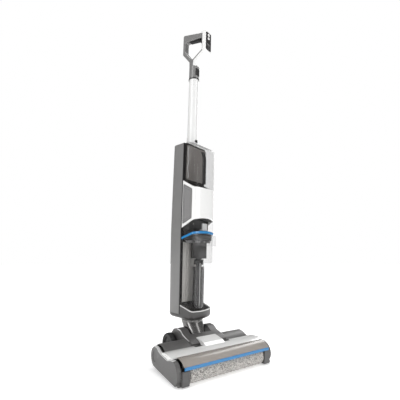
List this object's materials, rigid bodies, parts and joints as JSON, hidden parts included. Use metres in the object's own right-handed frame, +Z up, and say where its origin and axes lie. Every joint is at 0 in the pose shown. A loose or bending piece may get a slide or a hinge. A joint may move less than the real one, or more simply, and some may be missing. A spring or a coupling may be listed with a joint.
{
  "type": "wet dry floor scrubber",
  "caption": "Cordless upright wet and dry floor scrubber: wide roller foot, reclining swivel neck, two-tank body and white tube with a loop handle.",
  "frame": {"origin": "on the floor under the middle of the machine at rest", "axes": "+Z up, the roller and the front of the foot towards -Y, +X to the machine's right as seen from its front-left viewer"},
  "size_m": [0.316, 0.274, 1.1942],
  "materials": {
    "foot_grey": "satin",
    "dark_plastic": "satin",
    "silver_trim": "satin",
    "steel": "brushed",
    "rubber": "matte",
    "tyre": "matte",
    "brush_pile": "pile",
    "core_plastic": "matte",
    "gloss_white": "gloss",
    "white_tube": "gloss",
    "bronze_window": "clear",
    "blue_gloss": "gloss",
    "neck_metal": "metallic",
    "shell_grey": "satin",
    "inlay_grey": "satin",
    "smoke_clear": "clear",
    "filter_grey": "matte",
    "latch_grey": "satin",
    "battery_case": "matte",
    "board_green": "matte"
  },
  "bodies": {
    "root": {"chassis": "dark_plastic", "end_cap_left": "foot_grey", "end_cap_right": "foot_grey", "foot_trims": "silver_trim", "rear_cover": "foot_grey", "centre_housing": "foot_grey", "brush_motor": "steel", "drive_belt": "rubber", "suction_duct": "dark_plastic", "squeegee": "rubber", "foot_pins": "steel", "foot_screws": "steel"},
    "brush": {"brush_core": "core_plastic", "brush_pile": "brush_pile", "bearing_plug": "dark_plastic", "drive_plug": "dark_plastic"},
    "motor_drive": {"motor_pulley": "dark_plastic"},
    "wheel_left": {"wheel_hub_left": "dark_plastic", "tyre_left": "tyre"},
    "wheel_right": {"wheel_hub_right": "dark_plastic", "tyre_right": "tyre"},
    "cover": {"brush_cover": "gloss_white", "window": "bronze_window", "bumper_strip": "blue_gloss"},
    "cover_key_left": {"release_button_left": "dark_plastic"},
    "cover_key_right": {"release_button_right": "dark_plastic"},
    "neck": {"neck_tube": "neck_metal"},
    "main": {"base_cup": "dark_plastic", "cup_rim": "silver_trim", "back_shell": "shell_grey", "spine_frame": "dark_plastic", "front_band": "gloss_white", "side_inlays": "inlay_grey", "battery_pack": "battery_case", "suction_motor": "steel", "water_pump": "core_plastic", "circuit_board": "board_green", "tube_socket": "white_tube", "handle_tube": "white_tube", "tube_collar": "dark_plastic", "handle_left": "shell_grey", "handle_right": "shell_grey", "handle_bezel": "gloss_white", "control_panel": "dark_plastic"},
    "dirty": {"dirty_tank": "smoke_clear", "lid_ring": "blue_gloss", "tank_lid": "dark_plastic", "pour_visor": "smoke_clear", "lid_sides": "smoke_clear", "tank_filter": "filter_grey", "standpipe": "core_plastic"},
    "float": {"float_ring": "core_plastic"},
    "latch": {"tank_latch": "latch_grey"},
    "clean": {"clean_tank": "smoke_clear"},
    "cap": {"tank_cap": "latch_grey"},
    "power_key": {"power_button": "gloss_white"},
    "mode_key": {"mode_button": "gloss_white"},
    "trigger_lever": {"trigger": "dark_plastic"},
    "grip_key": {"grip_button": "dark_plastic"},
    "tube_key": {"tube_button": "dark_plastic"}
  },
  "joints": [
    {"name": "brush_spin", "type": "hinge", "parent": "root", "child": "brush", "pos_m": [0, -0.1105, 0.0252], "axis": [1, 0, 0], "continuous": true},
    {"name": "motor_spin", "type": "hinge", "parent": "root", "child": "motor_drive", "pos_m": [0, -0.0015, 0.0385], "axis": [1, 0, 0], "continuous": true},
    {"name": "wheel_left_spin", "type": "hinge", "parent": "root", "child": "wheel_left", "pos_m": [-0.075, 0.0705, 0.036], "axis": [1, 0, 0], "continuous": true},
    {"name": "wheel_right_spin", "type": "hinge", "parent": "root", "child": "wheel_right", "pos_m": [0.075, 0.0705, 0.036], "axis": [1, 0, 0], "continuous": true},
    {"name": "cover_lift", "type": "slide", "parent": "root", "child": "cover", "axis": [0, 0, 1], "range_m": [0, 0.05]},
    {"name": "cover_key_left_press", "type": "slide", "parent": "cover", "child": "cover_key_left", "axis": [0, 0, -1], "range_m": [0, 0.002], "stiffness_N_per_m": 600},
    {"name": "cover_key_right_press", "type": "slide", "parent": "cover", "child": "cover_key_right", "axis": [0, 0, -1], "range_m": [0, 0.002], "stiffness_N_per_m": 600},
    {"name": "neck_recline", "type": "hinge", "parent": "root", "child": "neck", "pos_m": [0, 0.0285, 0.046], "axis": [-1, 0, 0], "range_deg": [0, 55]},
    {"name": "body_swivel", "type": "hinge", "parent": "neck", "child": "main", "pos_m": [0, 0.0605, 0.11], "axis": [0, -0.0419, 0.9991], "range_deg": [-55, 25]},
    {"name": "dirty_tank_slide", "type": "slide", "parent": "main", "child": "dirty", "axis": [0.2588, -0.9651, -0.0404], "range_m": [0, 0.11]},
    {"name": "float_rise", "type": "slide", "parent": "dirty", "child": "float", "axis": [0, -0.0419, 0.9991], "range_m": [0, 0.018]},
    {"name": "latch_press", "type": "slide", "parent": "dirty", "child": "latch", "axis": [0, 0.0419, -0.9991], "range_m": [0, 0.003], "stiffness_N_per_m": 500},
    {"name": "clean_tank_lift", "type": "slide", "parent": "main", "child": "clean", "axis": [0, -0.0419, 0.9991], "range_m": [0, 0.09]},
    {"name": "cap_twist", "type": "hinge", "parent": "clean", "child": "cap", "pos_m": [0.00647, 0.01858, 0.53362], "axis": [0, -0.0419, 0.9991], "range_deg": [0, 90]},
    {"name": "power_press", "type": "slide", "parent": "main", "child": "power_key", "axis": [-0.2588, 0.9651, 0.0404], "range_m": [0, 0.0007], "stiffness_N_per_m": 600},
    {"name": "mode_press", "type": "slide", "parent": "main", "child": "mode_key", "axis": [-0.2588, 0.9651, 0.0404], "range_m": [0, 0.0007], "stiffness_N_per_m": 600},
    {"name": "trigger_pull", "type": "hinge", "parent": "main", "child": "trigger_lever", "pos_m": [-0.01113, 0.05847, 1.15033], "axis": [-0.9659, -0.2586, -0.0108], "range_deg": [0, 7], "stiffness_Nm_per_rad": 0.4},
    {"name": "grip_press", "type": "slide", "parent": "main", "child": "grip_key", "axis": [-0.2588, 0.9651, 0.0404], "range_m": [0, 0.002], "stiffness_N_per_m": 600},
    {"name": "tube_key_press", "type": "slide", "parent": "main", "child": "tube_key", "axis": [-0.2588, 0.9651, 0.0404], "range_m": [0, 0.0007], "stiffness_N_per_m": 600}
  ],
  "couplings": [
    {"joint": "motor_spin", "follows": "brush_spin", "ratio": 1.5714}
  ]
}
